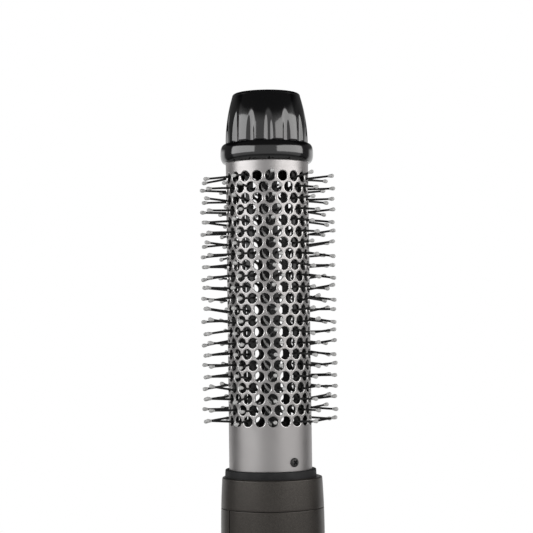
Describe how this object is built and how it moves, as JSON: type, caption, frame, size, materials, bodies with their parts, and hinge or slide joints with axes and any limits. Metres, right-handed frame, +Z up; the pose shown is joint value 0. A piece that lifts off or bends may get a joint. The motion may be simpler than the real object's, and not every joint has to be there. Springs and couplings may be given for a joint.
{
  "type": "hot air brush",
  "caption": "Round hot air brush with a perforated metal barrel, ball-tipped bristles that retract when the fluted tip knob turns, and a waisted handle with a slide switch.",
  "frame": {"origin": "centre of the standing rim at the handle's tail, on the barrel's axis", "axes": "+Z up the barrel to the tip knob, -Y out of the switch"},
  "size_m": [0.0562, 0.0559, 0.3263],
  "materials": {
    "gloss_black": "polished black moulding",
    "barrel_metal": "satin anodised tube",
    "handle_plastic": "satin dark metallic moulding",
    "matte_black": "matt black moulding",
    "nylon_black": "black nylon",
    "tip_grey": "pale grey drops",
    "acetal": "natural acetal",
    "steel": "zinc plated",
    "black_screw": "black oxide",
    "mica": "mica sheet",
    "heater_wire": "resistance wire",
    "thermostat_metal": "plated can",
    "slider_grey": "pale grey moulding",
    "inner_plastic": "dark grey moulding",
    "fan_plastic": "white moulding",
    "board_green": "green lacquered board",
    "magnet": "ferrite",
    "armature": "lacquered copper on steel",
    "black_rubber": "black elastomer"
  },
  "bodies": {
    "handle": {"friction_washer": "steel", "tip_ring": "gloss_black", "guide_plate_upper": "matte_black", "guide_plate_lower": "matte_black", "barrel": "barrel_metal", "barrel_screws": "black_screw", "barrel_socket": "matte_black", "collar": "matte_black", "heater_cross": "mica", "heater_coil": "heater_wire", "heater_sleeve": "mica", "thermostat": "thermostat_metal", "nose_ring": "handle_plastic", "grip_shell_front": "handle_plastic", "grip_shell_rear": "handle_plastic", "shell_screws": "steel", "switch_plate": "matte_black", "switch_body": "inner_plastic", "rectifier_board": "board_green", "motor_can": "steel", "motor_end_bell": "inner_plastic", "motor_magnets": "magnet", "motor_grommet": "black_rubber", "fan_duct": "inner_plastic", "tail_cap": "handle_plastic", "inlet_filter": "steel"},
    "knob_drive": {"tip_knob": "gloss_black", "knob_cap": "gloss_black", "knob_screw": "steel", "drive_shaft": "steel", "scroll_cam_upper": "acetal", "scroll_cam_lower": "acetal"},
    "strip_01": {"bristle_strip_01": "nylon_black", "ball_tips_01": "tip_grey"},
    "strip_02": {"bristle_strip_02": "nylon_black", "ball_tips_02": "tip_grey"},
    "strip_03": {"bristle_strip_03": "nylon_black", "ball_tips_03": "tip_grey"},
    "strip_04": {"bristle_strip_04": "nylon_black", "ball_tips_04": "tip_grey"},
    "strip_05": {"bristle_strip_05": "nylon_black", "ball_tips_05": "tip_grey"},
    "strip_06": {"bristle_strip_06": "nylon_black", "ball_tips_06": "tip_grey"},
    "strip_07": {"bristle_strip_07": "nylon_black", "ball_tips_07": "tip_grey"},
    "strip_08": {"bristle_strip_08": "nylon_black", "ball_tips_08": "tip_grey"},
    "strip_09": {"bristle_strip_09": "nylon_black", "ball_tips_09": "tip_grey"},
    "strip_10": {"bristle_strip_10": "nylon_black", "ball_tips_10": "tip_grey"},
    "slider": {"switch_slider": "slider_grey"},
    "rotor": {"motor_armature": "armature", "fan_impeller": "fan_plastic"},
    "gland": {"swivel_gland": "black_rubber", "gland_retainer": "steel"}
  },
  "joints": [
    {"name": "knob_turn", "type": "hinge", "parent": "handle", "child": "knob_drive", "pos_m": [0, 0, 0.3], "axis": [0, 0, 1], "range_deg": [0, 90]},
    {"name": "strip_01_slide", "type": "slide", "parent": "handle", "child": "strip_01", "axis": [-0.1822, 0.9833, 0], "range_m": [0, 0.01]},
    {"name": "strip_02_slide", "type": "slide", "parent": "handle", "child": "strip_02", "axis": [-0.7254, 0.6884, 0], "range_m": [0, 0.01]},
    {"name": "strip_03_slide", "type": "slide", "parent": "handle", "child": "strip_03", "axis": [-0.9914, 0.1305, 0], "range_m": [0, 0.01]},
    {"name": "strip_04_slide", "type": "slide", "parent": "handle", "child": "strip_04", "axis": [-0.8788, -0.4772, 0], "range_m": [0, 0.01]},
    {"name": "strip_05_slide", "type": "slide", "parent": "handle", "child": "strip_05", "axis": [-0.4305, -0.9026, 0], "range_m": [0, 0.01]},
    {"name": "strip_06_slide", "type": "slide", "parent": "handle", "child": "strip_06", "axis": [0.1822, -0.9833, 0], "range_m": [0, 0.01]},
    {"name": "strip_07_slide", "type": "slide", "parent": "handle", "child": "strip_07", "axis": [0.7254, -0.6884, 0], "range_m": [0, 0.01]},
    {"name": "strip_08_slide", "type": "slide", "parent": "handle", "child": "strip_08", "axis": [0.9914, -0.1305, 0], "range_m": [0, 0.01]},
    {"name": "strip_09_slide", "type": "slide", "parent": "handle", "child": "strip_09", "axis": [0.8788, 0.4772, 0], "range_m": [0, 0.01]},
    {"name": "strip_10_slide", "type": "slide", "parent": "handle", "child": "strip_10", "axis": [0.4305, 0.9026, 0], "range_m": [0, 0.01]},
    {"name": "switch_slide", "type": "slide", "parent": "handle", "child": "slider", "axis": [0, -0.0575, 0.9983], "range_m": [0, 0.009]},
    {"name": "fan_spin", "type": "hinge", "parent": "handle", "child": "rotor", "pos_m": [0, -0.001, 0.06], "axis": [0, 0, 1], "continuous": true},
    {"name": "gland_swivel", "type": "hinge", "parent": "handle", "child": "gland", "pos_m": [0, -0.001, 0.004], "axis": [0, 0, 1], "continuous": true}
  ],
  "couplings": [
    {"joint": "strip_01_slide", "follows": "knob_turn", "m_per_rad": 0.0063662},
    {"joint": "strip_02_slide", "follows": "knob_turn", "m_per_rad": 0.0063662},
    {"joint": "strip_03_slide", "follows": "knob_turn", "m_per_rad": 0.0063662},
    {"joint": "strip_04_slide", "follows": "knob_turn", "m_per_rad": 0.0063662},
    {"joint": "strip_05_slide", "follows": "knob_turn", "m_per_rad": 0.0063662},
    {"joint": "strip_06_slide", "follows": "knob_turn", "m_per_rad": 0.0063662},
    {"joint": "strip_07_slide", "follows": "knob_turn", "m_per_rad": 0.0063662},
    {"joint": "strip_08_slide", "follows": "knob_turn", "m_per_rad": 0.0063662},
    {"joint": "strip_09_slide", "follows": "knob_turn", "m_per_rad": 0.0063662},
    {"joint": "strip_10_slide", "follows": "knob_turn", "m_per_rad": 0.0063662}
  ]
}
